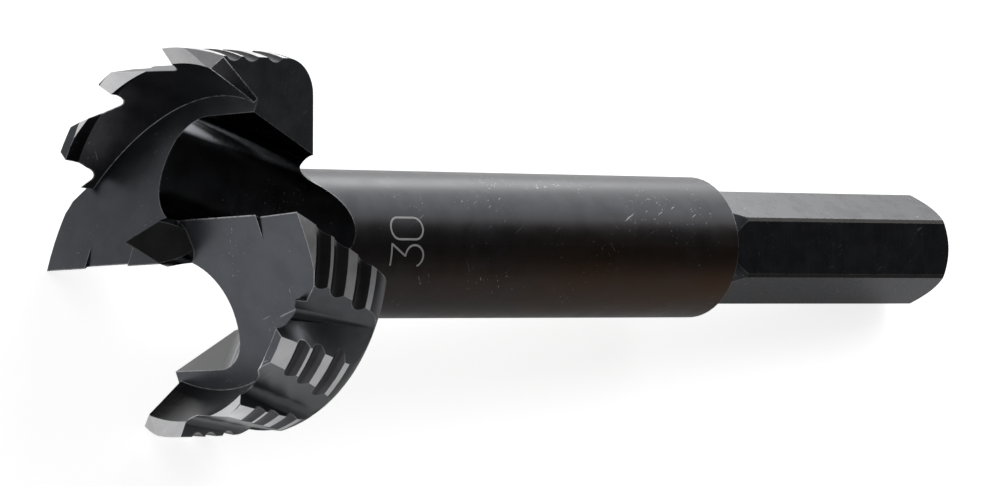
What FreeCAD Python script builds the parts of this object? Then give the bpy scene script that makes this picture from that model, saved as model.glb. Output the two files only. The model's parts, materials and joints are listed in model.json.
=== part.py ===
import FreeCAD, Part
import math
import os
import re
import Sketcher
from FreeCAD import Placement, Rotation, Vector

# A rim-toothed boring bit for wood, turned and milled from one steel bar: head, body, shank and centre
# point are one solid. Millimetres. The bit is modelled about its own axis with the cutting end up: the
# tips of the rim teeth lie at height zero, and a depth is measured from there towards the shank.
# Angles run anticlockwise seen from the front, which is also the way the edges travel. The head has
# two halves, half a turn apart: one is described and the other is the same thing turned round.

doc = FreeCAD.newDocument("boring_bit")

SIZES = [
    ("head_diameter", 30.0, "across the rim teeth, the size of the hole"),
    ("head_depth", 10.75, "from the tooth tips to the flat back of the head"),
    ("head_back_round", 2.6, "rounding of the back outer corner of the head"),
    ("head_root_round", 1.0, "fillet where the body leaves the head"),
    ("body_diameter", 11.8, "round body behind the head"),
    ("body_end_depth", 57.4, "from the tooth tips to the shoulder over the shank"),
    ("body_end_chamfer", 0.35, "broken edge of that shoulder"),
    ("shank_end_depth", 85.5, "from the tooth tips to the end of the shank"),
    ("shank_flats", 8.4, "across the flats of the six-sided shank"),
    ("shank_corners", 9.5, "across its turned-down corners"),
    ("shank_lead_diameter", 8.1, "neck where the shank leaves the shoulder"),
    ("shank_lead_length", 2.6, "length of the cone from that neck to the full corners"),
    ("shank_end_chamfer", 0.9, "chamfer on the end of the shank"),
    ("shank_turn", 0.0, "turn of the six flats about the axis, degrees"),
    ("edge_offset", 1.64, "distance of a main cutting edge in front of the axis"),
    ("edge_skew", 2.3, "turn of the main edges in plan, degrees"),
    ("relief_angle", 22.0, "slope of the flank behind a main edge, degrees"),
    ("flute_width", 10.63, "width of a chip window"),
    ("flute_end_round", 8.0, "large radius at the blind end of a chip window"),
    ("flute_corner_round", 2.5, "small radius at its far corner"),
    ("flute_end_place", 0.85, "place of the large radius's middle along the edge, from the axis"),
    ("flute_run", 0.93, "sideways run of a window for each millimetre of depth"),
    ("flute_fall", 0.485, "fall of a window's sides for each millimetre of depth, the rake"),
    ("end_wall_offset", 4.6, "distance of the wall that ends a half from the axis"),
    ("rim_bevel_width", 1.2, "width of the ground bevel on the rim teeth"),
    ("rim_bevel_angle", 41.0, "slope of that bevel towards the middle, degrees"),
    ("rim_bevel_tilt", 8.0, "tilt of that bevel, which makes it narrow on the second tooth, degrees"),
    ("rim_mouth_angle", 18.0, "lean of the low wall under that bevel, degrees"),
    ("rim_wall_angle", 29.5, "lean of the inside wall of the rim from the axis, degrees"),
    ("land_depth", 8.5, "length of a rim tooth's land"),
    ("sweep_end", 19.0, "where the flank stops running out to the hole's wall, degrees"),
    ("wave_first_depth", 2.6, "middle of the first groove round the rim"),
    ("wave_second_depth", 4.4, "middle of the second groove"),
    ("wave_third_depth", 6.85, "middle of the third groove"),
    ("wave_width", 1.5, "width of a groove"),
    ("wave_hollow", 0.34, "depth of a groove"),
    ("tooth_two_angle", 28.6, "tip of the second rim tooth, degrees behind the first side"),
    ("tooth_three_angle", 55.4, "tip of the third rim tooth"),
    ("tooth_four_angle", 85.0, "tip of the fourth rim tooth"),
    ("tip_twist", 1.2, "turn of a tooth's front for each millimetre of depth, degrees"),
    ("land_one_end", 9.0, "where the land of the first tooth ends at the tips, degrees"),
    ("land_two_end", 37.7, "where the land of the second tooth ends there"),
    ("land_three_end", 62.5, "where the land of the third tooth ends there"),
    ("land_one_twist", 1.42, "turn of that end for each millimetre of depth, degrees"),
    ("land_two_twist", 1.85, "the same for the second tooth"),
    ("land_three_twist", 1.65, "the same for the third tooth"),
    ("gullet_one_depth", 2.8, "depth of the gullet behind the first tooth at the tips"),
    ("gullet_two_depth", 2.1, "depth of the second gullet there"),
    ("gullet_three_depth", 1.9, "depth of the third gullet there"),
    ("gullet_runout_depth", 0.7, "depth that all gullets have left at the end of the lands"),
    ("gullet_round", 0.8, "radius in the root of a gullet"),
    ("gullet_one_lead", 3.5, "how far the root of the first gullet lies before the tooth's tip, degrees"),
    ("gullet_one_spread", 1.1, "growth of that lead for each millimetre of depth, degrees"),
    ("gullet_lead", 0.5, "how far the roots of the other two gullets lie before the tips, degrees"),
    ("tail_place", 0.85, "where the rim starts to fall away behind the fourth tooth, from the axis"),
    ("tail_angle", 22.3, "slope of that fall, degrees"),
    ("tail_chamfer", 1.2, "width of the chamfer on the inside corner of the rim's end"),
    ("tail_chamfer_turn", 39.0, "turn of that chamfer from the wall that ends the half, degrees"),
    ("breaker_height", 0.25, "drop of the chip-breaking step at the edge"),
    ("breaker_length", 2.1, "how far the step reaches back from the edge"),
    ("breaker_place", 10.2, "distance of the step from the axis"),
    ("breaker_tilt", 3.0, "rise of the outer step's floor towards the rim, degrees"),
    ("breaker_inner_end", 5.0, "inner end of the lowered stretch on the second half"),
    ("point_height", 4.4, "centre point above the tooth tips"),
    ("point_diameter", 3.9, "centre point where it leaves the flanks"),
    ("point_taper", 2.5, "taper of its round stem, degrees each side"),
    ("point_face_angle", 20.0, "slope of its three ground faces from the axis, degrees"),
    ("point_root_depth", 2.2, "how deep its stem runs into the web"),
    ("margin", 2.0, "how far a cutter runs past the metal that it cuts"),
]

sheet = doc.addObject("Spreadsheet::Sheet", "Sizes")
for row, (name, value, meaning) in enumerate(SIZES, start=1):
    sheet.set("A%d" % row, name)
    sheet.set("B%d" % row, "%g" % value)
    sheet.setAlias("B%d" % row, name)
    sheet.set("C%d" % row, meaning)
doc.recompute()
NAMES = [row[0] for row in SIZES]


def tied(text):
    """An expression in which every name of the sheet is given its sheet."""
    return re.sub("[a-z_]+", lambda word: "Sizes." + word[0] if word[0] in NAMES else word[0], text)


def amount(text):
    """The number that an expression comes to."""
    result = sheet.evalExpression(tied(text))
    return float(getattr(result, "Value", result))


def bind(thing, **links):
    """Ties properties of an object to expressions of the sheet's names."""
    for name, text in links.items():
        thing.setExpression(name, tied(text))


def step(x="0", y="0", z="0", turn="0", pitch="0", roll="0"):
    """One move, as an expression: a shift, then a turn about Z, Y and X."""
    shift = "create(<<vector>>; %s; %s; %s)" % (x, y, z)
    return "create(<<placement>>; %s; create(<<rotation>>; %s; %s; %s))" % (shift, turn, pitch, roll)


def polar(radius, angle):
    """The two coordinates of a point given by its distance from the axis and its angle."""
    return "(%s) * cos(%s)" % (radius, angle), "(%s) * sin(%s)" % (radius, angle)


def pin(sketch, geometry, vertex, x, y):
    """Holds one point of a sketch at coordinates given as expressions."""
    for kind, text, axis in (("DistanceX", x, -2), ("DistanceY", y, -1)):
        if text == "0":
            sketch.addConstraint(Sketcher.Constraint("PointOnObject", geometry, vertex, axis))
        else:
            limit = Sketcher.Constraint(kind, -1, 1, geometry, vertex, amount(text))
            sketch.setExpression("Constraints[%d]" % sketch.addConstraint(limit), tied(text))


def closed_outline(sketch, points):
    """Draws a closed run of straight lines through points given as pairs of expressions."""
    places = [Vector(amount(x), amount(y), 0) for x, y in points]
    lines = []
    for here, there in zip(places, places[1:] + places[:1]):
        lines.append(sketch.addGeometry(Part.LineSegment(here, there), False))
    for line, following in zip(lines, lines[1:] + lines[:1]):
        sketch.addConstraint(Sketcher.Constraint("Coincident", line, 2, following, 1))
    for line, (x, y) in zip(lines, points):
        pin(sketch, line, 1, x, y)


def plane_sketch(body, name, role):
    """A sketch of a body on one of the body's own origin planes."""
    sketch = body.newObject("Sketcher::SketchObject", name)
    plane = next(item for item in body.Origin.OriginFeatures if item.Role == role)
    sketch.AttachmentSupport = [(plane, "")]
    sketch.MapMode = "FlatFace"
    return sketch


def joined(kind, name, *things):
    """A fusion or a common part of several solids."""
    whole = doc.addObject(kind, name)
    whole.Shapes = list(things)
    return whole


def cut_from(name, base, tool):
    """What is left of one solid when another is taken away."""
    rest = doc.addObject("Part::Cut", name)
    rest.Base = base
    rest.Tool = tool
    return rest


def turned_half(thing, name):
    """The same cutter for the other half of the head, half a turn round."""
    other = doc.addObject("App::Link", name)
    other.LinkedObject = thing
    other.Placement = Placement(Vector(0, 0, 0), Rotation(Vector(0, 0, 1), 180))
    return other


# The turned blank
# One revolved outline gives the head as a plain disc, the round body, its shoulder and the shank
# as a round bar. The shank starts in a short cone, so that the flats run out in curves.
blank = doc.addObject("PartDesign::Body", "Blank")
outline = plane_sketch(blank, "TurnedOutline", "XZ_Plane")
closed_outline(outline, [
    ("0", "-shank_end_depth"),
    ("shank_corners / 2 - shank_end_chamfer", "-shank_end_depth"),
    ("shank_corners / 2", "shank_end_chamfer - shank_end_depth"),
    ("shank_corners / 2", "-body_end_depth - shank_lead_length"),
    ("shank_lead_diameter / 2", "-body_end_depth"),
    ("body_diameter / 2 - body_end_chamfer", "-body_end_depth"),
    ("body_diameter / 2", "body_end_chamfer - body_end_depth"),
    ("body_diameter / 2", "-head_depth"),
    ("head_diameter / 2", "-head_depth"),
    ("head_diameter / 2", "0"),
    ("0", "0"),
])
turned = blank.newObject("PartDesign::Revolution", "Turned")
turned.Profile = outline
turned.ReferenceAxis = (outline, ["V_Axis"])
turned.Angle = 360
doc.recompute()


def ring_edge(shape, radius, height):
    """The name of the round edge of a turned shape at a radius and a height."""
    for number, edge in enumerate(shape.Edges, start=1):
        middle = getattr(edge.Curve, "Center", None)
        if middle and abs(edge.Curve.Radius - radius) < 1e-4 and abs(middle.z - height) < 1e-4:
            return "Edge%d" % number
    raise ValueError("no round edge at radius %g and height %g" % (radius, height))


back_round = blank.newObject("PartDesign::Fillet", "BackRound")
back_round.Base = (turned, [ring_edge(turned.Shape, amount("head_diameter / 2"), -amount("head_depth"))])
bind(back_round, Radius="head_back_round")
doc.recompute()
root_round = blank.newObject("PartDesign::Fillet", "RootRound")
root_round.Base = (back_round, [ring_edge(back_round.Shape, amount("body_diameter / 2"), -amount("head_depth"))])
bind(root_round, Radius="head_root_round")
doc.recompute()

# The wave grooves
# Three hollow rounded grooves run round the rim and are ground through, so that the lands touch the
# hole's wall in narrow strips.
waves = plane_sketch(blank, "WaveSections", "XZ_Plane")
WAVE_RADIUS = "(wave_width ^ 2 / 4 + wave_hollow ^ 2) / (2 * wave_hollow)"
WAVE_MIDDLE = "head_diameter / 2 - wave_hollow + " + WAVE_RADIUS
for wave_depth in ("wave_first_depth", "wave_second_depth", "wave_third_depth"):
    middle = Vector(amount(WAVE_MIDDLE), -amount(wave_depth), 0)
    ring = waves.addGeometry(Part.Circle(middle, Vector(0, 0, 1), amount(WAVE_RADIUS)), False)
    pin(waves, ring, 3, WAVE_MIDDLE, "-" + wave_depth)
    radius = waves.addConstraint(Sketcher.Constraint("Radius", ring, amount(WAVE_RADIUS)))
    waves.setExpression("Constraints[%d]" % radius, tied(WAVE_RADIUS))
wave_grooves = blank.newObject("PartDesign::Groove", "WaveGrooves")
wave_grooves.Profile = waves
wave_grooves.ReferenceAxis = (waves, ["V_Axis"])
wave_grooves.Angle = 360

# The six flats
# What stands outside a hexagon is milled off the round bar, from its end up to the shoulder.
flats = plane_sketch(blank, "FlatsSection", "XY_Plane")
bind(flats, **{".AttachmentOffset.Base.z": "-shank_end_depth"})
CORNER_REACH = "shank_flats / 2 / cos(30)"
closed_outline(flats, [polar(CORNER_REACH, "shank_turn + %d" % (30 + 60 * k)) for k in range(6)])
ROUND_ABOUT = "body_diameter"
about = flats.addGeometry(Part.Circle(Vector(0, 0, 0), Vector(0, 0, 1), amount(ROUND_ABOUT)), False)
flats.addConstraint(Sketcher.Constraint("Coincident", about, 3, -1, 1))
about_radius = flats.addConstraint(Sketcher.Constraint("Radius", about, amount(ROUND_ABOUT)))
flats.setExpression("Constraints[%d]" % about_radius, tied(ROUND_ABOUT))
milled_flats = blank.newObject("PartDesign::Pocket", "MilledFlats")
milled_flats.Profile = flats
milled_flats.Reversed = True
bind(milled_flats, Length="shank_end_depth - body_end_depth")
blank.Tip = milled_flats

# The flanks
# Behind each main edge the front of the half slopes away in one plane. It runs out to the hole's wall
# at the first tooth only: round the other teeth the metal is left standing as a rim, with a leaning
# inside wall and a bevel on top.
BEVEL_DROP = "rim_bevel_width * tan(rim_bevel_angle)"
RIM_RADIUS = "head_diameter / 2 - rim_bevel_width"
REACH = "head_diameter / 2 + margin"
flank_frame = step(turn="edge_skew") + " * " + step(y="edge_offset", roll="relief_angle")

front_block = doc.addObject("Part::Box", "FlankBlock")
bind(front_block, Length=REACH, Width="head_diameter + margin", Height="head_diameter / 2",
     Placement=flank_frame + " * " + step(y="-head_diameter"))
tail_block = doc.addObject("Part::Box", "FlankTailBlock")
bind(tail_block, Length=REACH, Width="head_diameter - body_diameter / 3", Height="head_diameter / 2",
     Placement=flank_frame + " * " + step("-" + REACH.replace(" +", " -"), "-head_diameter"))
flank_space = joined("Part::MultiFuse", "FlankSpace", front_block, tail_block)

rim_wall = doc.addObject("Part::Cone", "RimWall")
bind(rim_wall, Radius1=RIM_RADIUS + " - tan(rim_wall_angle) * (head_depth - %s)" % BEVEL_DROP,
     Radius2=RIM_RADIUS, Height="head_depth - " + BEVEL_DROP, Placement=step(z="-head_depth"))
rim_mouth = doc.addObject("Part::Cone", "RimMouth")
bind(rim_mouth, Radius1=RIM_RADIUS,
     Radius2=RIM_RADIUS + " + tan(rim_mouth_angle) * (%s + margin)" % BEVEL_DROP,
     Height=BEVEL_DROP + " + margin", Placement=step(z="-" + BEVEL_DROP))
rim_bevel = doc.addObject("Part::Cone", "RimBevel")
bind(rim_bevel, Radius1=RIM_RADIUS,
     Radius2=RIM_RADIUS + " + rim_bevel_width + margin / tan(rim_bevel_angle)",
     Height=BEVEL_DROP + " + margin",
     Placement=step(y="-(%s)" % RIM_RADIUS, z="-" + BEVEL_DROP, roll="rim_bevel_tilt")
     + " * " + step(y=RIM_RADIUS))
first_tooth = doc.addObject("Part::Cylinder", "FirstToothSector")
bind(first_tooth, Radius=REACH, Angle="2 * sweep_end", Height="head_depth + margin",
     Placement=step(z="-head_depth", turn="-sweep_end"))
rim_space = joined("Part::MultiFuse", "RimSpace", rim_wall, rim_mouth, rim_bevel, first_tooth)
flank_cutter = joined("Part::MultiCommon", "FlankCutter", flank_space, rim_space)

# The gullets
# Three gullets part the four rim teeth. Each is a notch with a steep side, the front of the next
# tooth, and a long side, the back of the last one. It is deep at the tips and runs out at the back of
# the land, so it is drawn as two sections with a straight-lined surface between them.
SECTION_DEPTHS = ("-margin / 2", "land_depth + margin / 2")
SIDE_REACH = "1.6"


def between(start, end, share):
    """The point a share of the way from one point to another, or past it."""
    return tuple("%s + %s * (%s - (%s))" % (a, share, b, a) for a, b in zip(start, end))


def gullet_section(name, depth, tip_angle, land_end, land_twist, tip_notch, lead, spread):
    """The outline of one gullet across the bit, at a depth below the tips."""
    tip = "(-%s - tip_twist * (%s))" % (tip_angle, depth)
    land = "(-%s - %s * (%s))" % (land_end, land_twist, depth)
    notch = "(%s + (gullet_runout_depth - %s) * (%s) / land_depth)" % (tip_notch, tip_notch, depth)
    root_angle = "%s + %s + %s * (%s)" % (tip, lead, spread, depth)
    root = polar("head_diameter / 2 - " + notch, root_angle)
    steep_end = between(root, polar("head_diameter / 2", tip), SIDE_REACH)
    heel_end = between(root, polar("head_diameter / 2", land), SIDE_REACH)

    sketch = doc.addObject("Sketcher::SketchObject", name)
    bind(sketch, Placement=step(z="-(%s)" % depth))
    corner, steep, heel = (Vector(amount(x), amount(y), 0) for x, y in (root, steep_end, heel_end))
    to_steep = (steep - corner).normalize()
    to_heel = (heel - corner).normalize()
    half_corner = to_steep.getAngle(to_heel) / 2
    radius = amount("gullet_round")
    hub = corner + (to_steep + to_heel).normalize() * (radius / math.sin(half_corner))
    on_steep = corner + to_steep * (radius / math.tan(half_corner))
    on_heel = corner + to_heel * (radius / math.tan(half_corner))
    hollow = Part.ArcOfCircle(Part.Circle(hub, Vector(0, 0, 1), radius),
                              math.atan2(on_heel.y - hub.y, on_heel.x - hub.x),
                              math.atan2(on_steep.y - hub.y, on_steep.x - hub.x))
    side = sketch.addGeometry(Part.LineSegment(steep, on_steep), False)
    arc = sketch.addGeometry(hollow, False)
    back = sketch.addGeometry(Part.LineSegment(on_heel, heel), False)
    lid = sketch.addGeometry(Part.LineSegment(heel, steep), False)
    point = sketch.addGeometry(Part.Point(corner), True)
    sketch.addConstraint(Sketcher.Constraint("Tangent", side, 2, arc, 2))
    sketch.addConstraint(Sketcher.Constraint("Tangent", arc, 1, back, 1))
    sketch.addConstraint(Sketcher.Constraint("Coincident", back, 2, lid, 1))
    sketch.addConstraint(Sketcher.Constraint("Coincident", lid, 2, side, 1))
    sketch.addConstraint(Sketcher.Constraint("PointOnObject", point, 1, side))
    sketch.addConstraint(Sketcher.Constraint("PointOnObject", point, 1, back))
    rounding = sketch.addConstraint(Sketcher.Constraint("Radius", arc, radius))
    sketch.setExpression("Constraints[%d]" % rounding, tied("gullet_round"))
    pin(sketch, point, 1, *root)
    pin(sketch, side, 1, *steep_end)
    pin(sketch, back, 2, *heel_end)
    return sketch


gullets = []
for name, front, number, lead, spread in (
    ("GulletOne", "tooth_two_angle", "one", "gullet_one_lead", "gullet_one_spread"),
    ("GulletTwo", "tooth_three_angle", "two", "gullet_lead", "0"),
    ("GulletThree", "tooth_four_angle", "three", "gullet_lead", "0"),
):
    gullet = doc.addObject("Part::Loft", name)
    gullet.Sections = [
        gullet_section(name + place, depth, front, "land_%s_end" % number, "land_%s_twist" % number,
                       "gullet_%s_depth" % number, lead, spread)
        for place, depth in zip(("Front", "Back"), SECTION_DEPTHS)
    ]
    gullet.Solid = True
    gullet.Ruled = True
    gullets.append(gullet)

# The tail of the rim
# Behind the fourth tooth the rim falls away in a slanting plane as far as the wall that ends the half.
tail_relief = doc.addObject("Part::Box", "TailRelief")
bind(tail_relief, Length="head_diameter / 2", Width="head_diameter / 2", Height="head_depth",
     Placement=step("-tail_place", turn="180", pitch="tail_angle") + " * " + step(y="body_diameter / 2"))

# A chamfer takes off the inside corner of that end: it is widest on top and runs out at the flank.
chamfer_block = doc.addObject("Part::Box", "TailChamferBlock")
bind(chamfer_block, Length="2 * margin", Width="head_diameter", Height="head_diameter",
     Placement=step("-end_wall_offset",
                    "-sqrt((%s) ^ 2 - end_wall_offset ^ 2) - tail_chamfer" % RIM_RADIUS,
                    "-tan(tail_angle) * (end_wall_offset - tail_place)",
                    turn="180 - tail_chamfer_turn", pitch="-rim_wall_angle")
     + " * " + step(y="-head_diameter / 2", z="-head_diameter / 2"))
tail_chamfer = joined("Part::MultiCommon", "TailChamfer", flank_space, chamfer_block)

# The chip-breaking steps
# One stretch of each main edge is ground a little lower, the outer one on the first half and the
# inner one on the second, so that each half cuts what the other leaves.
BREAKER_SLOPE = "atan(breaker_height / breaker_length)"


def breaker(name, start, length, half_turn, tilt):
    """A wedge that lowers the flank along a stretch of the edge."""
    wedge = doc.addObject("Part::Box", name)
    along = step(turn="edge_skew + %d" % half_turn) + " * " + step(start, "edge_offset", roll="relief_angle")
    bind(wedge, Length=length, Width="breaker_length + margin", Height="margin",
         Placement=along + " * " + step(y="-breaker_length", pitch="-" + tilt, roll="-" + BREAKER_SLOPE))
    return wedge


outer_step = breaker("OuterStep", "breaker_place", "head_diameter / 2", 0, "breaker_tilt")
inner_step = breaker("InnerStep", "breaker_inner_end", "breaker_place - breaker_inner_end", 180, "0")

# The ground front
# The blank loses the faces of each half first, then the gullets and last the two steps.
half_faces = joined("Part::MultiFuse", "HalfFaces", flank_cutter, tail_relief, tail_chamfer)
half_gullets = joined("Part::MultiFuse", "HalfGullets", *gullets)
edge_steps = joined("Part::MultiFuse", "EdgeSteps", outer_step, inner_step)
toothed = blank
for name, cutter in (
    ("FirstFront", half_faces),
    ("SecondFront", turned_half(half_faces, "OtherHalfFaces")),
    ("FirstTeeth", half_gullets),
    ("SecondTeeth", turned_half(half_gullets, "OtherHalfGullets")),
    ("Toothed", edge_steps),
):
    toothed = cut_from(name, toothed, cutter)

# The centre point
# A short tapered stem rises from the web between the flanks, and three ground faces bring it to a
# point. They are faces of a tall three-sided pyramid.
POINT_RISE = "point_height + point_root_depth"
stem = doc.addObject("Part::Cone", "PointStem")
bind(stem, Radius1="point_diameter / 2 + tan(point_taper) * point_root_depth",
     Radius2="point_diameter / 2 - tan(point_taper) * point_height", Height=POINT_RISE,
     Placement=step(z="-point_root_depth"))
pyramid_foot = doc.addObject("Part::RegularPolygon", "PyramidFoot")
pyramid_foot.Polygon = 3
bind(pyramid_foot, Circumradius="2 * tan(point_face_angle) * (%s)" % POINT_RISE,
     Placement=step(z="-point_root_depth", turn="60"))
pyramid_tip = doc.addObject("Part::Vertex", "PyramidTip")
bind(pyramid_tip, Z="point_height")
pyramid = doc.addObject("Part::Loft", "Pyramid")
pyramid.Sections = [pyramid_foot, pyramid_tip]
pyramid.Solid = True
pyramid.Ruled = True
centre_point = joined("Part::MultiCommon", "CentrePoint", stem, pyramid)
pointed = joined("Part::MultiFuse", "Pointed", toothed, centre_point)

# The chip windows
# A slot with one blind, rounded end is milled slantwise through each side of the head: its near side
# is the rake face under a main edge, and its blind end runs out on the body. A second cut squares off
# the end of the other half.
window_frame = doc.addObject("Sketcher::SketchObject", "WindowSection")
bind(window_frame, Placement=step(turn="edge_skew"))
near, far = amount("edge_offset"), amount("edge_offset + flute_width")
end_x, end_radius = amount("flute_end_place"), amount("flute_end_round")
corner_radius, open_x = amount("flute_corner_round"), amount(REACH + " + margin")
end_middle = Vector(end_x, near + end_radius, 0)
corner_y = far - corner_radius
corner_lean = math.asin((corner_y - end_middle.y) / (end_radius - corner_radius))
corner_middle = Vector(end_x - (end_radius - corner_radius) * math.cos(corner_lean), corner_y, 0)
upright = Vector(0, 0, 1)
big = Part.ArcOfCircle(Part.Circle(end_middle, upright, end_radius), math.pi - corner_lean, 1.5 * math.pi)
small = Part.ArcOfCircle(Part.Circle(corner_middle, upright, corner_radius),
                         math.pi / 2, math.pi - corner_lean)
rake_line = window_frame.addGeometry(Part.LineSegment(big.EndPoint, Vector(open_x, near, 0)), False)
mouth = window_frame.addGeometry(Part.LineSegment(Vector(open_x, near, 0), Vector(open_x, far, 0)), False)
far_line = window_frame.addGeometry(Part.LineSegment(Vector(open_x, far, 0), small.StartPoint), False)
corner_arc = window_frame.addGeometry(small, False)
end_arc = window_frame.addGeometry(big, False)
for limit in (
    ("Tangent", end_arc, 2, rake_line, 1),
    ("Coincident", rake_line, 2, mouth, 1),
    ("Coincident", mouth, 2, far_line, 1),
    ("Tangent", far_line, 2, corner_arc, 1),
    ("Tangent", corner_arc, 2, end_arc, 1),
    ("Horizontal", rake_line),
    ("Horizontal", far_line),
    ("Vertical", mouth),
):
    window_frame.addConstraint(Sketcher.Constraint(*limit))
for geometry, text in ((end_arc, "flute_end_round"), (corner_arc, "flute_corner_round")):
    rounding = window_frame.addConstraint(Sketcher.Constraint("Radius", geometry, amount(text)))
    window_frame.setExpression("Constraints[%d]" % rounding, tied(text))
for kind, vertex, text in (
    ("DistanceY", (rake_line, 1), "edge_offset"),
    ("DistanceX", (rake_line, 1), "flute_end_place"),
    ("DistanceX", (rake_line, 2), REACH + " + margin"),
    ("DistanceY", (far_line, 1), "edge_offset + flute_width"),
):
    place = window_frame.addConstraint(Sketcher.Constraint(kind, -1, 1, *vertex, amount(text)))
    window_frame.setExpression("Constraints[%d]" % place, tied(text))

SLANT = "sqrt(1 + flute_run ^ 2 + flute_fall ^ 2)"
slot = doc.addObject("Part::Extrusion", "WindowSlot")
slot.Base = window_frame
slot.DirMode = "Custom"
slot.Solid = True
bind(slot, Dir="create(<<vector>>; flute_run; -flute_fall; -1)",
     LengthFwd="((body_diameter / 2 + flute_end_round - flute_end_place) / flute_run + margin) * " + SLANT,
     LengthRev="(point_height + margin) * " + SLANT)
end_wall = doc.addObject("Part::Box", "EndWall")
bind(end_wall, Length="head_diameter", Width="head_diameter", Height="head_depth + 2 * margin",
     Placement=step("end_wall_offset", "edge_offset + flute_width - flute_fall * head_depth - margin / 4",
                    "-head_depth - margin"))
window = joined("Part::MultiFuse", "ChipWindow", slot, end_wall)
windows = joined("Part::MultiFuse", "ChipWindows", window, turned_half(window, "OtherChipWindow"))
bit = cut_from("BoringBit", pointed, windows)
bit.Label = "boring_bit"
doc.recompute()


def rest_placement():
    """The bit lying down: on the corner of one half, the end of the other and the shank's end."""
    rim = amount("head_diameter / 2")
    corner_angle = 180 + amount("edge_skew") + math.degrees(math.asin(amount("edge_offset") / rim))
    wall = amount("end_wall_offset")
    shank_corner = amount("shank_turn + 210")
    corner = Vector(rim * math.cos(math.radians(corner_angle)), rim * math.sin(math.radians(corner_angle)), 0)
    heel = Vector(-wall, -math.sqrt(rim ** 2 - wall ** 2), -amount("land_depth"))
    end = Vector(0, 0, amount("shank_end_chamfer - shank_end_depth"))
    end += amount("shank_corners / 2") * Vector(math.cos(math.radians(shank_corner)),
                                                math.sin(math.radians(shank_corner)), 0)
    up = (heel - corner).cross(end - corner).normalize()
    if up * (corner + heel + end) > 0:
        up = -up
    to_shank = Vector(0, 0, -1)
    along = (to_shank - up * (to_shank * up)).normalize()
    across = up.cross(along)
    return Placement(Vector(0, 0, 0), Rotation(along, across, up, "ZXY")).inverse()


bit.Placement = rest_placement()
doc.recompute()
box = bit.Shape.optimalBoundingBox(False, False)
middle_x = (box.XMin + box.XMax) / 2
middle_y = (box.YMin + box.YMax) / 2
bit.Placement = Placement(Vector(-middle_x, -middle_y, -box.ZMin), bit.Placement.Rotation)
doc.recompute()

for thing in doc.Objects:
    if "Invalid" in thing.State or "Error" in thing.State:
        raise RuntimeError("%s could not be built" % thing.Label)
for thing in (blank, toothed, centre_point, bit):
    if thing.Shape.isNull() or not thing.Shape.isValid():
        raise RuntimeError("%s has no valid shape" % thing.Label)
if len(bit.Shape.Solids) != 1:
    raise RuntimeError("the bit is %d solids" % len(bit.Shape.Solids))
if milled_flats.Shape.Volume >= wave_grooves.Shape.Volume:
    raise RuntimeError("the flats cut nothing")

os.makedirs("parts", exist_ok=True)
bit.Shape.exportStep("parts/%s.step" % bit.Label)
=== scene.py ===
import json
import math

import bpy
from mathutils import Matrix, Vector


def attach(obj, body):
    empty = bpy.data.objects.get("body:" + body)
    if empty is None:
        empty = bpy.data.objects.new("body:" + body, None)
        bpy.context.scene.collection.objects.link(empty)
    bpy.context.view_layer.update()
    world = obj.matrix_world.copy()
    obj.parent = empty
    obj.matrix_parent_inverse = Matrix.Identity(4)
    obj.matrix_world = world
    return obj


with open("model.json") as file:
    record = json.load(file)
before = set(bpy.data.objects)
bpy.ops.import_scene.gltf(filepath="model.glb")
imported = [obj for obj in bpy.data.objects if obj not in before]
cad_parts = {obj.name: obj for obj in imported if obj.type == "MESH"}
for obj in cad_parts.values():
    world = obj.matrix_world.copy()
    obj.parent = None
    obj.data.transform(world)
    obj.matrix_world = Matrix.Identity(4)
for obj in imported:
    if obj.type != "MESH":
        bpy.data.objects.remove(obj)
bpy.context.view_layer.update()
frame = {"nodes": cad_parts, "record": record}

# The bit's own axes
# The bit is one steel bar, turned about one line that falls towards the shank. Places on it are
# given along that line from the tooth tips, and round it from the first main edge, in millimetres.
MM = 0.001
TIPS_TO_COLLAR_SEAT = 34.5
FIRST_EDGE_TURN = math.radians(37.282)

seat = next(item for item in frame["record"]["mounts"] if item["name"] == "stop_collar_seat")
to_shank = Vector(seat["axis"]).normalized()
across = Vector((0, 1, 0))
above = across.cross(to_shank) * -1
tips_middle = Vector(seat["pos_m"]) - to_shank * TIPS_TO_COLLAR_SEAT * MM
edge_way = above * math.cos(FIRST_EDGE_TURN) - across * math.sin(FIRST_EDGE_TURN)
front_way = -to_shank
side_way = front_way.cross(edge_way)


def tool_way(way):
    """A direction of the frame, in the bit's own axes: along the first edge, beside it, in front."""
    return Vector((way.dot(edge_way), way.dot(side_way), way.dot(front_way)))


def tool_point(place):
    """A place of the frame, in the bit's own millimetres."""
    return tool_way((Vector(place) - tips_middle) / MM)


def frame_point(x, y, z):
    """A place in the bit's own millimetres, in the frame's metres."""
    return tips_middle + (edge_way * x + side_way * y + front_way * z) * MM


# The body and the shank
# The round body and the six-sided shank are turned and milled, then blackened. The finish is
# thin: it is rubbed grey along the shank's corners and where the bit has rolled about. The side of
# the body that lies low has a painted brown reflection in its colour, more towards the shank.
LENGTHWAYS = 0.35
SCRATCH_WAYS = (((0.9, 0.3, 0.12), 0.0), ((0.2, 0.75, 0.5), 7.3), ((0.1, -0.5, 0.85), 3.1))
SCRATCH_SQUEEZE = -0.955
SCRATCH_LEVELS = (0.73, 0.77)
SCRATCHED_AREAS = (0.48, 0.62)
SCRATCH_SCALE = 5.5
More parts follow.
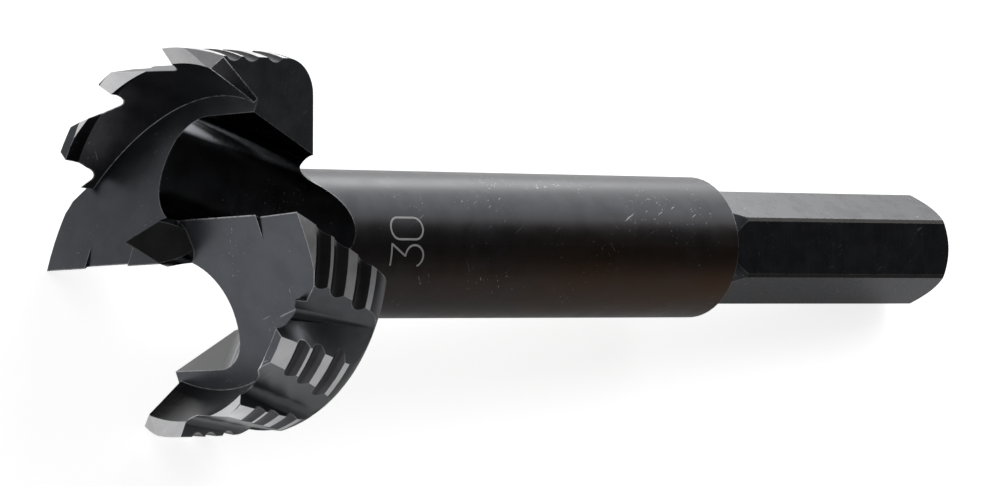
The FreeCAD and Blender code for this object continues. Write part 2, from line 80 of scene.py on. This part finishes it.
# Rubbed edges: partly real wear, partly a painted highlight along edges and creases.
WORN_AND_HIGHLIT_WIDTH = 0.14
WORN_AND_HIGHLIT_TURN = (0.006, 0.06)
WORN_AND_HIGHLIT_PATCHES = (0.26, 0.52)
PATCH_LEVELS = (0.25, 0.75)
PATCH_SHARE, LINE_SHARE, GRAIN_SHARE = 0.5, 0.35, 0.15
LINE_ROUGHNESS, PATCH_ROUGHNESS = 0.12, 0.06
GRAIN_HEIGHT, SCRATCH_HEIGHT = 0.1, 0.3
BUMP_STRENGTH, BUMP_DEPTH = 0.35, 0.02
# A painted brown reflection along the body's low side: its tint, where it shows along and round the body,
# and its clouds.
BROWN_REFLECTION_TINT = (0.05, 0.025, 0.012)
BROWN_REFLECTION_DEPTHS, BROWN_REFLECTION_START = (18.0, 50.0), 0.45
BROWN_REFLECTION_SIDES = (3.0, -2.5)
BROWN_REFLECTION_CLOUD = (0.35, 0.65, 0.6, 1.0)


def new_group(name, inputs, outputs):
    """A shader node group with named sockets, given as pairs of a name and a kind."""
    group = bpy.data.node_groups.new(name, "ShaderNodeTree")
    for label, kind in inputs:
        group.interface.new_socket(label, in_out="INPUT", socket_type="NodeSocket" + kind)
    for label, kind in outputs:
        group.interface.new_socket(label, in_out="OUTPUT", socket_type="NodeSocket" + kind)
    return group, group.nodes.new("NodeGroupInput"), group.nodes.new("NodeGroupOutput")


def add(tree, kind, settings=(), **values):
    """A node with its settings. Its inputs, by name or as i0, i1, are set to numbers or linked."""
    made = tree.nodes.new("ShaderNode" + kind)
    for label, value in dict(settings).items():
        setattr(made, label, value)
    for label, value in values.items():
        by_number = label[0] == "i" and label[1:].isdigit()
        socket = made.inputs[int(label[1:]) if by_number else label]
        if isinstance(value, bpy.types.NodeSocket):
            tree.links.new(value, socket)
        else:
            socket.default_value = value
    return made


def sums(tree, operation, *values, clamp=False):
    """One step of arithmetic on numbers."""
    inputs = {"i%d" % k: value for k, value in enumerate(values)}
    return add(tree, "Math", {"operation": operation, "use_clamp": clamp}, **inputs).outputs[0]


def times(tree, *values):
    """The product of two or more numbers."""
    product = values[0]
    for value in values[1:]:
        product = sums(tree, "MULTIPLY", product, value)
    return product


def vectors(tree, operation, *values):
    """One step of arithmetic on vectors."""
    inputs = {"i%d" % k: value for k, value in enumerate(values)}
    made = add(tree, "VectorMath", {"operation": operation}, **inputs)
    return made.outputs["Value" if operation == "DOT_PRODUCT" else "Vector"]


def scaled(tree, vector, factor):
    """A vector times a number."""
    made = add(tree, "VectorMath", {"operation": "SCALE"}, i0=vector, Scale=factor)
    return made.outputs["Vector"]


def ramp(tree, value, low, high, new_low=0.0, new_high=1.0):
    """A smooth step of a value from one range to another."""
    made = add(tree, "MapRange", {"interpolation_type": "SMOOTHSTEP"}, Value=value)
    for label, number in (("From Min", low), ("From Max", high), ("To Min", new_low), ("To Max", new_high)):
        made.inputs[label].default_value = number
    return made.outputs["Result"]


def blend(tree, share, first, second):
    """A colour between two others."""
    made = add(tree, "Mix", {"data_type": "RGBA"}, i0=share)
    for label, colour in ((6, first), (7, second)):
        if isinstance(colour, bpy.types.NodeSocket):
            tree.links.new(colour, made.inputs[label])
        else:
            made.inputs[label].default_value = (*colour, 1)
    return made.outputs[2]


def noise(tree, place, scale, detail=3.0, rough=0.5):
    """A cloudy value from 0 to 1 over a place."""
    made = add(tree, "TexNoise", Vector=place, Scale=scale, Detail=detail, Roughness=rough)
    return made.outputs[0]


# Where a point of the surface lies, in the bit's own millimetres.
place_group, _, place_out = new_group("place_on_bit", [], [("Place", "Vector"), ("Depth", "Float")])
spot = add(place_group, "TexCoord").outputs["Object"]
spot = vectors(place_group, "SUBTRACT", spot, tips_middle)
parts = [vectors(place_group, "DOT_PRODUCT", spot, way / MM) for way in (edge_way, side_way, front_way)]
spot = add(place_group, "CombineXYZ", X=parts[0], Y=parts[1], Z=parts[2]).outputs[0]
place_group.links.new(spot, place_out.inputs["Place"])
place_group.links.new(times(place_group, parts[2], -1.0), place_out.inputs["Depth"])

# Fine parallel marks that a lathe, a cutter or a wheel leaves, and how they vary along themselves.
marks_group, marks_in, marks_out = new_group(
    "cutter_marks", [("Place", "Vector"), ("Across", "Vector"), ("Density", "Float")], [("Value", "Float")])
steps_across = vectors(marks_group, "DOT_PRODUCT", marks_in.outputs["Place"], marks_in.outputs["Across"])
steps_across = times(marks_group, steps_across, marks_in.outputs["Density"])
squeezed = scaled(marks_group, marks_in.outputs["Across"], steps_across)
stretched = scaled(marks_group, marks_in.outputs["Place"], LENGTHWAYS)
marks_place = vectors(marks_group, "ADD", squeezed, stretched)
lines = noise(marks_group, marks_place, scale=1.0, detail=4.0, rough=0.65)
marks_group.links.new(lines, marks_out.inputs["Value"])

# Short scratches in three directions, few and far between.
scuff_group, scuff_in, scuff_out = new_group(
    "scuffs", [("Place", "Vector"), ("Size", "Float"), ("Share", "Float")], [("Mask", "Float")])
scratches = []
for way, shift in SCRATCH_WAYS:
    long_way = Vector(way).normalized()
    moved = vectors(scuff_group, "ADD", scuff_in.outputs["Place"], (shift, shift, shift))
    along = vectors(scuff_group, "DOT_PRODUCT", moved, long_way)
    pulled_in = scaled(scuff_group, tuple(long_way), times(scuff_group, along, SCRATCH_SQUEEZE))
    drawn_out = vectors(scuff_group, "ADD", moved, pulled_in)
    drawn_out = scaled(scuff_group, drawn_out, scuff_in.outputs["Size"])
    scratch = noise(scuff_group, drawn_out, scale=1.0, detail=1.0, rough=0.4)
    scratches.append(ramp(scuff_group, scratch, *SCRATCH_LEVELS))
together = sums(scuff_group, "MAXIMUM", sums(scuff_group, "MAXIMUM", *scratches[:2]), scratches[2])
areas_hit = noise(scuff_group, scuff_in.outputs["Place"], scale=0.22, detail=1.0)
areas_hit = ramp(scuff_group, areas_hit, *SCRATCHED_AREAS)
scuff_mask = times(scuff_group, together, areas_hit, scuff_in.outputs["Share"])
scuff_group.links.new(scuff_mask, scuff_out.inputs["Mask"])

# Corners where the dark finish has rubbed through to bright steel. The same bright tone along edges and
# creases is also a painted highlight.
worn_and_highlit_group, worn_and_highlit_in, worn_and_highlit_out = new_group(
    "worn_and_highlit_edges", [("Place", "Vector"), ("Amount", "Float")], [("Mask", "Float")])
rounded = add(worn_and_highlit_group, "Bevel", {"samples": 6}, Radius=WORN_AND_HIGHLIT_WIDTH * MM)
true_normal = add(worn_and_highlit_group, "NewGeometry").outputs["Normal"]
same = vectors(worn_and_highlit_group, "DOT_PRODUCT", rounded.outputs["Normal"], true_normal)
turned = ramp(worn_and_highlit_group, sums(worn_and_highlit_group, "SUBTRACT", 1.0, same), *WORN_AND_HIGHLIT_TURN)
patchy = noise(worn_and_highlit_group, worn_and_highlit_in.outputs["Place"], scale=1.7, detail=3.0, rough=0.6)
patchy = ramp(worn_and_highlit_group, patchy, *WORN_AND_HIGHLIT_PATCHES)
worn_and_highlit_mask = times(worn_and_highlit_group, turned, patchy, worn_and_highlit_in.outputs["Amount"])
worn_and_highlit_group.links.new(worn_and_highlit_mask, worn_and_highlit_out.inputs["Mask"])


def with_painted_brown_reflection(tree, place, depth, colour, amount):
    """A colour with a painted brown reflection over it, on the low side and more towards the shank."""
    beside = add(tree, "SeparateXYZ", i0=place).outputs["Y"]
    brown_reflection = times(tree, ramp(tree, depth, *BROWN_REFLECTION_DEPTHS, BROWN_REFLECTION_START, amount),
                 ramp(tree, noise(tree, place, scale=0.12, detail=2.0), *BROWN_REFLECTION_CLOUD),
                 ramp(tree, beside, *BROWN_REFLECTION_SIDES))
    return blend(tree, brown_reflection, colour, BROWN_REFLECTION_TINT)


def steel(name, dark, light, roughness, metal=1.0, marks=(0, 0, 1), density=14.0, marks_depth=0.4,
          patch_size=0.5, worn_and_highlit=0.6, scuffed=0.5, bright=(0.5, 0.5, 0.51), painted_brown=0.0):
    """A steel finish: two tones in patches and cutter marks, with scuffs, and edges rubbed bright that also
    carry a painted highlight.
    """
    finish = bpy.data.materials.new(name)
    finish.use_nodes = True
    tree = finish.node_tree
    shader = tree.nodes["Principled BSDF"]
    where = add(tree, "Group", {"node_tree": place_group})
    place = where.outputs["Place"]
    lines = add(tree, "Group", {"node_tree": marks_group}, Place=place, Across=marks, Density=density)
    lines = lines.outputs["Value"]
    patches = ramp(tree, noise(tree, place, patch_size), *PATCH_LEVELS)
    grain = noise(tree, place, scale=9.0, rough=0.7)
    tone = sums(tree, "ADD", times(tree, patches, PATCH_SHARE), times(tree, lines, LINE_SHARE))
    tone = sums(tree, "ADD", tone, times(tree, grain, GRAIN_SHARE), clamp=True)
    colour = blend(tree, tone, dark, light)
    # The painted brown reflection, on the finishes that ask for it.
    if painted_brown:
        colour = with_painted_brown_reflection(tree, place, where.outputs["Depth"], colour, painted_brown)
    scuff = add(tree, "Group", {"node_tree": scuff_group}, Place=place, Size=SCRATCH_SCALE, Share=scuffed)
    scuff = scuff.outputs["Mask"]
    # Rubbed edges, which also carry a painted highlight along edges and creases.
    worn_and_highlit_edge = add(tree, "Group", {"node_tree": worn_and_highlit_group}, Place=place, Amount=worn_and_highlit).outputs["Mask"]
    bare_and_highlit = sums(tree, "MAXIMUM", scuff, worn_and_highlit_edge)
    tree.links.new(blend(tree, bare_and_highlit, colour, bright), shader.inputs["Base Color"])
    lowest = roughness - (LINE_ROUGHNESS + PATCH_ROUGHNESS) / 2
    gloss = sums(tree, "ADD", lowest, times(tree, lines, LINE_ROUGHNESS))
    gloss = sums(tree, "ADD", gloss, times(tree, patches, PATCH_ROUGHNESS), clamp=True)
    tree.links.new(gloss, shader.inputs["Roughness"])
    shader.inputs["Metallic"].default_value = metal
    height = sums(tree, "ADD", times(tree, lines, marks_depth), times(tree, grain, GRAIN_HEIGHT))
    height = sums(tree, "SUBTRACT", height, times(tree, scuff, SCRATCH_HEIGHT))
    bump = add(tree, "Bump", Height=height, Strength=BUMP_STRENGTH, Distance=BUMP_DEPTH * MM)
    tree.links.new(bump.outputs["Normal"], shader.inputs["Normal"])
    return finish


finishes = {
    "body": steel("blackened_bar", (0.022, 0.0225, 0.025), (0.045, 0.046, 0.051), 0.33,
                  density=10.0, worn_and_highlit=0.5, scuffed=0.3, painted_brown=0.95),
    "flat": steel("blackened_flat", (0.031, 0.032, 0.036), (0.057, 0.059, 0.066), 0.28,
                  density=5.0, marks_depth=0.15, worn_and_highlit=0.75, scuffed=0.35),
    "corner": steel("turned_corner", (0.007, 0.0065, 0.006), (0.016, 0.015, 0.0145), 0.3,
                    density=6.0, marks_depth=0.15, worn_and_highlit=0.35, scuffed=0.2, bright=(0.2, 0.19, 0.18)),
}

# The head's blackened faces
# The flanks behind the two edges, the gullets between the teeth, the wave grooves and the back
# are milled and then blackened, and keep the marks of the wheel or the cutter.
finishes["flank"] = steel("blackened_flank", (0.066, 0.071, 0.08), (0.098, 0.104, 0.116), 0.33,
                          marks=(0.25, 0.92, 0.3), density=9.0, worn_and_highlit=0.7, scuffed=0.35)
finishes["gullet"] = steel("blackened_gullet", (0.078, 0.082, 0.09), (0.13, 0.135, 0.145), 0.34,
                           marks=(0.3, 0.3, 0.9), density=6.0, worn_and_highlit=0.7, scuffed=0.2)
finishes["groove"] = steel("blackened_groove", (0.03, 0.03, 0.033), (0.07, 0.07, 0.075), 0.32,
                           density=10.0, worn_and_highlit=0.3, scuffed=0.1)
finishes["back"] = steel("blackened_back", (0.05, 0.05, 0.054), (0.1, 0.102, 0.108), 0.33,
                         density=8.0, worn_and_highlit=0.6, scuffed=0.3)
# The inside of the rim takes the bright edge tone in full: wear, and a painted highlight along its lower
# edge.
finishes["rim_inside"] = steel("blackened_rim", (0.016, 0.016, 0.018), (0.045, 0.045, 0.049), 0.22,
                               density=7.0, worn_and_highlit=1.0, scuffed=0.15, bright=(0.75, 0.75, 0.76))

# The chip windows
# A mill is run through the head on a slant, twice. Its path leaves a nearly black floor, two side
# walls and a small corner radius, where it chatters and leaves fine ribs. The ribs along the corner
# carry a painted highlight in a light tone.
SLOT_FALL = 0.485
SLOT_WAY = Vector((0.93, -SLOT_FALL, -1.0)).normalized()
SLOT_MARKS = (0.66, -0.34, -0.67)
RIB_PITCH = 0.34
RIB_LEVELS = (-0.6, 0.8, 0.15, 1.0)
# Where the painted highlight on the corner ribs lies and fades, its tone, and the roughness it adds.
RIB_HIGHLIGHT_START, RIB_HIGHLIGHT_END = (10.6, 11.05), (11.6, 11.95)
RIB_HIGHLIGHT_FADE = (4.0, 12.0, 1.0, 0.35)
RIB_HIGHLIGHT_TONE = (0.6, 0.62, 0.66)
RIB_HIGHLIGHT_ROUGHNESS = 0.22

finishes["flute"] = steel("milled_flute", (0.006, 0.006, 0.007), (0.03, 0.031, 0.034), 0.2,
                          marks=SLOT_MARKS, density=5.5, marks_depth=0.8, worn_and_highlit=0.7, scuffed=0.15)
finishes["side"] = steel("milled_side", (0.04, 0.041, 0.044), (0.11, 0.112, 0.118), 0.25,
                         marks=(0.9, 0.1, -0.4), density=7.0, marks_depth=0.3, worn_and_highlit=0.8, scuffed=0.2)
finishes["end"] = steel("milled_end", (0.07, 0.074, 0.082), (0.14, 0.145, 0.158), 0.27,
                        marks=(0, 0.3, 0.95), density=7.0, marks_depth=0.3, scuffed=0.2)

tree = finishes["flute"].node_tree
shader = tree.nodes["Principled BSDF"]
where = add(tree, "Group", {"node_tree": place_group})
place, depth = where.outputs["Place"], where.outputs["Depth"]
beside = sums(tree, "ABSOLUTE", add(tree, "SeparateXYZ", i0=place).outputs["Y"])
level = sums(tree, "ADD", beside, times(tree, depth, SLOT_FALL))
outward = sums(tree, "ABSOLUTE", vectors(tree, "DOT_PRODUCT", place, (*SLOT_WAY.xy, 0)))
along = sums(tree, "ADD", outward, times(tree, depth, -SLOT_WAY.z))
ribs = sums(tree, "SINE", times(tree, along, 2 * math.pi / RIB_PITCH))
# A painted highlight over the ribs along the corner radius.
rib_highlight = times(tree, ramp(tree, level, *RIB_HIGHLIGHT_START), ramp(tree, level, *RIB_HIGHLIGHT_END, 1.0, 0.0),
             ramp(tree, ribs, *RIB_LEVELS), ramp(tree, depth, *RIB_HIGHLIGHT_FADE))
plain_colour = shader.inputs["Base Color"].links[0].from_socket
tree.links.new(blend(tree, rib_highlight, plain_colour, RIB_HIGHLIGHT_TONE), shader.inputs["Base Color"])
plain_gloss = shader.inputs["Roughness"].links[0].from_socket
rougher = sums(tree, "ADD", plain_gloss, times(tree, rib_highlight, RIB_HIGHLIGHT_ROUGHNESS))
tree.links.new(rougher, shader.inputs["Roughness"])

# The teeth and the point
# The lands on the rim, the bevel on the teeth and the falling tail are ground after blackening,
# so they are bare and bright. The centre point is ground too, but to a darker, finer surface.
finishes["land"] = steel("ground_land", (0.6, 0.6, 0.61), (0.8, 0.8, 0.81), 0.32, density=16.0,
                         patch_size=0.9, worn_and_highlit=0.3, scuffed=0.2, bright=(0.85, 0.85, 0.86))
finishes["bevel"] = steel("ground_bevel", (0.48, 0.48, 0.49), (0.72, 0.72, 0.73), 0.27,
                          marks=(0.5, 0.5, 0.7), density=14.0, worn_and_highlit=0.3, scuffed=0.2,
                          bright=(0.8, 0.8, 0.81))
finishes["tail"] = steel("ground_tail", (0.3, 0.3, 0.31), (0.52, 0.52, 0.53), 0.3,
                         marks=(0.92, 0.1, 0.38), density=12.0, worn_and_highlit=0.4, scuffed=0.2,
                         bright=(0.75, 0.75, 0.76))
finishes["point"] = steel("ground_point", (0.05, 0.05, 0.053), (0.12, 0.121, 0.128), 0.22,
                          density=9.0, worn_and_highlit=0.9, scuffed=0.1, bright=(0.7, 0.7, 0.71))

# Which surface has which finish
# The steel is one piece, so its surfaces are told apart by where they lie and which way they look.
# A surface of the solid is one patch of joined triangles, and gets the kind of most of its area.
HEAD_RADIUS, HEAD_DEPTH, BACK_ROUND = 15.0, 10.75, 2.6
LAND_DEPTH, WAVE_HOLLOW = 8.5, 0.34
BODY_RADIUS, BODY_END, ROOT_ROUND = 5.9, 57.4, 1.3
SHANK_CORNER = 4.75
POINT_RADIUS, POINT_FOOT = 2.6, 1.4
BEVEL_WIDTH = 2.2
EDGE_SKEW = math.radians(2.3)
RELIEF = math.radians(22.0)
TAIL_FALL = math.radians(22.3)
CHAMFER_TURN, CHAMFER_LEAN = math.radians(141.0), math.radians(29.5)
NEARLY_SQUARE = 0.03
NO_SIDEWAYS = 0.05
SAME_WAY, LIKE_WAY, SQUARE_ON = 0.9995, 0.999, 0.9999
SIDE_WALL = 0.86

flank_up = Matrix.Rotation(EDGE_SKEW, 3, "Z") @ Vector((0, -math.sin(RELIEF), math.cos(RELIEF)))
tail_up = Vector((-math.sin(TAIL_FALL), 0, math.cos(TAIL_FALL)))
chamfer_up = Vector((math.cos(CHAMFER_TURN) * math.cos(CHAMFER_LEAN),
                     math.sin(CHAMFER_TURN) * math.cos(CHAMFER_LEAN), math.sin(CHAMFER_LEAN)))


def half_turned(way):
    """A direction turned by half a turn about the bit's axis."""
    return Vector((-way.x, -way.y, way.z))


def shank_kind(radius, outward):
    """Which surface of the shank a face belongs to."""
    if radius > SHANK_CORNER - 0.15 and outward > 0.99:
        return "corner"
    return "flat" if radius < BODY_RADIUS - 0.6 else "body"


def plane_kind(normal):
    """Which of the head's planes looks the way that a face does, on either half."""
    for there in (normal, half_turned(normal)):
        if there.dot(flank_up) > SAME_WAY:
            return "flank"
        if there.dot(tail_up) > SAME_WAY:
            return "tail"
        if there.dot(chamfer_up) > LIKE_WAY:
            return "rim_inside"
        if abs(there.x) > LIKE_WAY or abs(there.y) > SQUARE_ON:
            return "end"
    return None


def face_kind(middle, normal):
    """Which surface of the bit a face belongs to, from its place and the way it looks."""
    radius, depth = math.hypot(middle.x, middle.y), -middle.z
    outward = (normal.x * middle.x + normal.y * middle.y) / max(radius, 0.01)
    sideways = abs(normal.y * middle.x - normal.x * middle.y) / max(radius, 0.01)
    turned_round = sideways < NO_SIDEWAYS
    if depth > BODY_END + 0.05:
        return shank_kind(radius, outward)
    by_body = depth > HEAD_DEPTH + 0.02 and abs(radius - BODY_RADIUS) < ROOT_ROUND
    if by_body and turned_round and normal.z < 0.02:
        return "body"
    if radius < POINT_RADIUS and depth < POINT_FOOT and normal.z < 0.6 and outward > 0.2:
        return "point"
    on_rim = radius > HEAD_RADIUS - 0.6 and outward > 0.8
    milled = min(abs(normal.dot(way)) for way in (SLOT_WAY, half_turned(SLOT_WAY))) < NEARLY_SQUARE
    if milled and not on_rim:
        return "side" if abs(normal.y) > SIDE_WALL else "flute"
    if radius > HEAD_RADIUS - 0.03 and outward > 0.98 and depth < HEAD_DEPTH - BACK_ROUND:
        return "land"
    in_wave = radius > HEAD_RADIUS - WAVE_HOLLOW - 0.1 and depth < LAND_DEPTH
    if in_wave and turned_round and outward > 0.3:
        return "groove"
    if turned_round and normal.z < -0.02 and depth > LAND_DEPTH - 0.6:
        return "back"
    plane = plane_kind(normal)
    if plane:
        return plane
    if radius > HEAD_RADIUS - BEVEL_WIDTH and normal.z > 0.55 and outward < -0.3:
        return "bevel"
    if outward < -0.7 and radius > BODY_RADIUS:
        return "rim_inside"
    return "flank" if normal.z > 0.85 else "gullet"


bit = frame["nodes"]["boring_bit"]
bit.data.materials.clear()
for finish in finishes.values():
    bit.data.materials.append(finish)
slots = {kind: number for number, kind in enumerate(finishes)}
patch_of = list(range(len(bit.data.vertices)))


def patch(corner):
    """The patch that a corner of the mesh belongs to."""
    while patch_of[corner] != corner:
        patch_of[corner] = patch_of[patch_of[corner]]
        corner = patch_of[corner]
    return corner


for face in bit.data.polygons:
    for corner in face.vertices[1:]:
        patch_of[patch(corner)] = patch(face.vertices[0])
turn_normal = bit.matrix_world.to_3x3()
areas = {}
for face in bit.data.polygons:
    middle = tool_point(bit.matrix_world @ face.center)
    facing = sum((bit.data.corner_normals[k].vector for k in face.loop_indices), Vector())
    kind = face_kind(middle, tool_way((turn_normal @ facing).normalized()))
    shares = areas.setdefault(patch(face.vertices[0]), {})
    shares[kind] = shares.get(kind, 0) + face.area
for face in bit.data.polygons:
    shares = areas[patch(face.vertices[0])]
    face.material_index = slots[max(shares, key=shares.get)]

# The size mark
# The hole's size in millimetres is burnt into the body by a laser, as light grey strokes that read
# along the way round the bar. They have no depth that a finger could feel.
MARK_DEPTH = 19.6
MARK_HEIGHT = 3.4
MARK_WIDTH = 1.75
MARK_STROKE = 0.17
MARK_LIFT = 0.012
ZERO_PLACE, THREE_PLACE = 1.24, -0.88
ZERO_BEND = 0.95
SLANT_FOOT = (-0.1, 0.12)
BOWL_MIDDLE, BOWL_HALF = -0.44, 0.56
BOWL_TURNS = (80, -155)
ARC_STEPS = 20


def arc(cx, cy, rx, ry, start, end):
    """Points of an oval arc, angles in degrees anticlockwise."""
    turns = [math.radians(start + (end - start) * k / ARC_STEPS) for k in range(ARC_STEPS + 1)]
    return [(cx + rx * math.cos(turn), cy + ry * math.sin(turn)) for turn in turns]


def run(start, end):
    """Points of a straight stroke."""
    return [tuple(Vector(start).lerp(Vector(end), k / ARC_STEPS)) for k in range(ARC_STEPS + 1)]


def stroke(line):
    """The two sides of a ribbon of the mark's width along a line."""
    sides = []
    for k, (x, y) in enumerate(line):
        before, after = line[max(k - 1, 0)], line[min(k + 1, len(line) - 1)]
        onward = Vector((after[0] - before[0], after[1] - before[1])).normalized()
        half = Vector((-onward.y, onward.x)) * MARK_STROKE / 2
        sides.append(((x + half.x, y + half.y), (x - half.x, y - half.y)))
    return sides


def on_body(u, v):
    """A point of the mark, bent round the body: u runs round the bar, v towards the teeth."""
    turn = u / BODY_RADIUS
    radius = BODY_RADIUS + MARK_LIFT
    return frame_point(radius * math.cos(turn), radius * math.sin(turn), v - MARK_DEPTH)


half_w, half_h = MARK_WIDTH / 2, MARK_HEIGHT / 2
bend = half_w * ZERO_BEND
zero_line = arc(0, half_h - bend, half_w, bend, 0, 180)
zero_line += arc(0, bend - half_h, half_w, bend, 180, 360)
zero_line += run((half_w, bend - half_h), (half_w, half_h - bend))
foot = (half_w * SLANT_FOOT[0], half_h * SLANT_FOOT[1])
three_line = run((-half_w, half_h), (half_w, half_h))
three_line += run((half_w, half_h), foot)[1:]
three_line += arc(foot[0], half_h * BOWL_MIDDLE, half_w, half_h * BOWL_HALF, *BOWL_TURNS)
verts, faces = [], []
for place, line in ((ZERO_PLACE, zero_line), (THREE_PLACE, three_line)):
    for k, (left, right) in enumerate(stroke(line)):
        verts += [on_body(left[0] + place, left[1]), on_body(right[0] + place, right[1])]
        if k > 0:
            last = len(verts)
            faces.append((last - 4, last - 3, last - 1, last - 2))
mark_mesh = bpy.data.meshes.new("size_mark")
mark_mesh.from_pydata([tuple(v) for v in verts], [], faces)
mark_mesh.update()
mark = bpy.data.objects.new("size_mark", mark_mesh)
bpy.context.scene.collection.objects.link(mark)
mark_mesh.materials.append(steel("burnt_mark", (0.4, 0.4, 0.4), (0.66, 0.66, 0.65), 0.5, metal=0.1,
                                 density=20.0, worn_and_highlit=0.0, scuffed=0.0))
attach(mark, "root")

# The table
# The bit lies on a plain white table. What the steel mirrors of it is set apart from what the
# camera sees, to match the tones in the photograph: bright in front of the head, and dark behind
# the head and in front of the body. No real thing in the scene casts those tones.
TABLE_REACH = 3.0
TABLE_SEEN = 0.8
HEAD_TO_BODY = (-0.036, -0.026)
MIRRORED_AT_HEAD = (-0.002, 0.02, 0.72, 0.1)
MIRRORED_AT_BODY = (-0.015, 0.03, 0.12, 0.55)

floor_mesh = bpy.data.meshes.new("floor")
corners = [(-TABLE_REACH, -TABLE_REACH, 0), (TABLE_REACH, -TABLE_REACH, 0),
           (TABLE_REACH, TABLE_REACH, 0), (-TABLE_REACH, TABLE_REACH, 0)]
floor_mesh.from_pydata(corners, [], [(0, 1, 2, 3)])
floor = bpy.data.objects.new("floor", floor_mesh)
bpy.context.scene.collection.objects.link(floor)
paper = bpy.data.materials.new("white_table")
paper.use_nodes = True
tree = paper.node_tree
shader = tree.nodes["Principled BSDF"]
shader.inputs["Roughness"].default_value = 0.8
shader.inputs["Specular IOR Level"].default_value = 0.2
fibre = noise(tree, add(tree, "TexCoord").outputs["Object"], scale=60.0, detail=2.0)
tree.links.new(blend(tree, fibre, (0.88, 0.88, 0.88), (0.9, 0.9, 0.9)), shader.inputs["Base Color"])
path = add(tree, "LightPath")
table = add(tree, "SeparateXYZ", i0=add(tree, "TexCoord").outputs["Object"]).outputs
at_head = ramp(tree, table["X"], *HEAD_TO_BODY, 1.0, 0.0)
by_head = times(tree, at_head, ramp(tree, table["Y"], *MIRRORED_AT_HEAD))
at_body = sums(tree, "SUBTRACT", 1.0, at_head)
by_body = times(tree, at_body, ramp(tree, table["Y"], *MIRRORED_AT_BODY))
mirrored = sums(tree, "ADD", by_head, by_body)
seen = sums(tree, "MAXIMUM", times(tree, path.outputs["Is Camera Ray"], TABLE_SEEN),
            times(tree, path.outputs["Is Glossy Ray"], mirrored))
shader.inputs["Emission Color"].default_value = (1, 1, 1, 1)
tree.links.new(seen, shader.inputs["Emission Strength"])
floor_mesh.materials.append(paper)

# The light
# The room is bright low down behind the bit and dim overhead, which leaves the hollow faces dark.
# One large soft lamp stands behind the shank, and a small one lower down beside it.
SKY_HEIGHTS = (0.02, 0.42, 0.7, 0.26)
SKY_SIDES = (-0.5, 0.8, 0.4, 1.4)

room = bpy.data.worlds.new("white_room")
bpy.context.scene.world = room
room.use_nodes = True
tree = room.node_tree
sky = tree.nodes["Background"]
look = add(tree, "SeparateXYZ", i0=add(tree, "TexCoord").outputs["Generated"])
height = sums(tree, "ABSOLUTE", look.outputs["Z"])
shade = times(tree, ramp(tree, height, *SKY_HEIGHTS), ramp(tree, look.outputs["Y"], *SKY_SIDES))
path = add(tree, "LightPath")
shade = sums(tree, "MAXIMUM", shade, path.outputs["Is Camera Ray"])
grey = add(tree, "CombineColor", Red=shade, Green=shade, Blue=shade).outputs[0]
tree.links.new(grey, sky.inputs["Color"])
sky.inputs["Strength"].default_value = 1.0


def soft_lamp(name, place, size, power):
    """A square soft lamp that faces the bit."""
    light = bpy.data.lights.new(name, "AREA")
    light.shape = "SQUARE"
    light.size = size
    light.energy = power
    lamp = bpy.data.objects.new(name, light)
    bpy.context.scene.collection.objects.link(lamp)
    lamp.location = place
    lamp.rotation_euler = (-Vector(place)).to_track_quat("-Z", "Y").to_euler()


soft_lamp("back_lamp", (0.64, 0.36, 0.43), size=0.72, power=3.9)
soft_lamp("low_lamp", (0.45, 0.6, 0.14), size=0.25, power=0.9)

# The camera
# It looks down on the cutting end from the left, with a long lens.
CAMERA_PLACE = (-0.28714, -0.19840, 0.29456)
CAMERA_TURN = (43.567, -28.4467, -28.2155)
LENS, SENSOR = 198.0, 36.0
NEAREST_SEEN = 0.01

view = bpy.data.cameras.new("camera")
view.lens = LENS
view.sensor_width = SENSOR
view.clip_start = NEAREST_SEEN
camera = bpy.data.objects.new("camera", view)
bpy.context.scene.collection.objects.link(camera)
camera.location = CAMERA_PLACE
camera.rotation_euler = [math.radians(turn) for turn in CAMERA_TURN]
bpy.context.scene.camera = camera
bpy.context.scene.view_settings.view_transform = "Standard"
